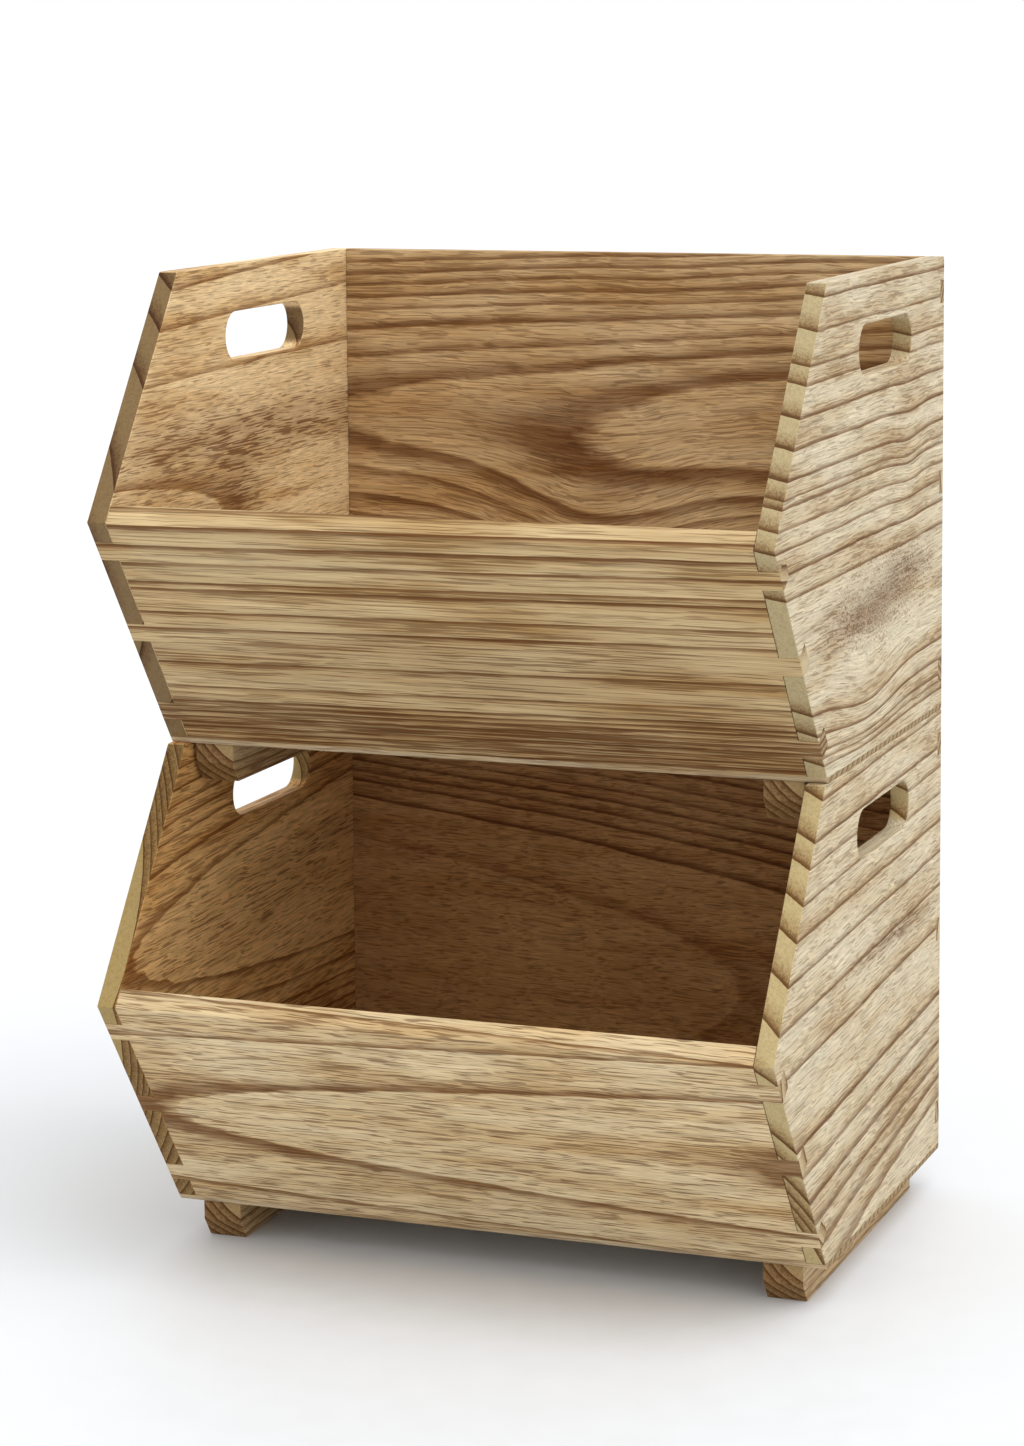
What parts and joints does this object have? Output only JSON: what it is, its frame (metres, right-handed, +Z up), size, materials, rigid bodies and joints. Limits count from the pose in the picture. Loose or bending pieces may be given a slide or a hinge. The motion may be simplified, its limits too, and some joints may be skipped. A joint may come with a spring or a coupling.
{
  "type": "stacking crate",
  "caption": "Stackable slant-front wooden crates, one on the other, box-jointed, with hand slots and nesting runners; the upper one lifts off.",
  "frame": {"origin": "middle of the stack's footprint, on the surface it stands on", "axes": "+Z up, +X to the right of a person facing the open fronts, -Y out of the open fronts"},
  "size_m": [0.45, 0.3968, 0.6482],
  "materials": {
    "panel_wood": "brushed, unvarnished",
    "board_wood": "brushed, unvarnished",
    "base_wood": "planed, unvarnished",
    "runner_wood": "sawn and planed, unvarnished",
    "screw_steel": "zinc-plated",
    "pin_steel": "bright"
  },
  "bodies": {
    "lower_crate": {"lower_left_side_panel": "panel_wood", "lower_right_side_panel": "panel_wood", "lower_front_board": "board_wood", "lower_back_board": "board_wood", "lower_base_panel": "base_wood", "lower_left_runner": "runner_wood", "lower_right_runner": "runner_wood", "lower_runner_screws": "screw_steel", "lower_panel_pins": "pin_steel"},
    "upper_crate": {"upper_left_side_panel": "panel_wood", "upper_right_side_panel": "panel_wood", "upper_front_board": "board_wood", "upper_back_board": "board_wood", "upper_base_panel": "base_wood", "upper_left_runner": "runner_wood", "upper_right_runner": "runner_wood", "upper_runner_screws": "screw_steel", "upper_panel_pins": "pin_steel"}
  },
  "joints": [
    {"name": "upper_crate_lift", "type": "slide", "parent": "lower_crate", "child": "upper_crate", "axis": [0, 0, 1], "range_m": [0, 0.06]}
  ]
}
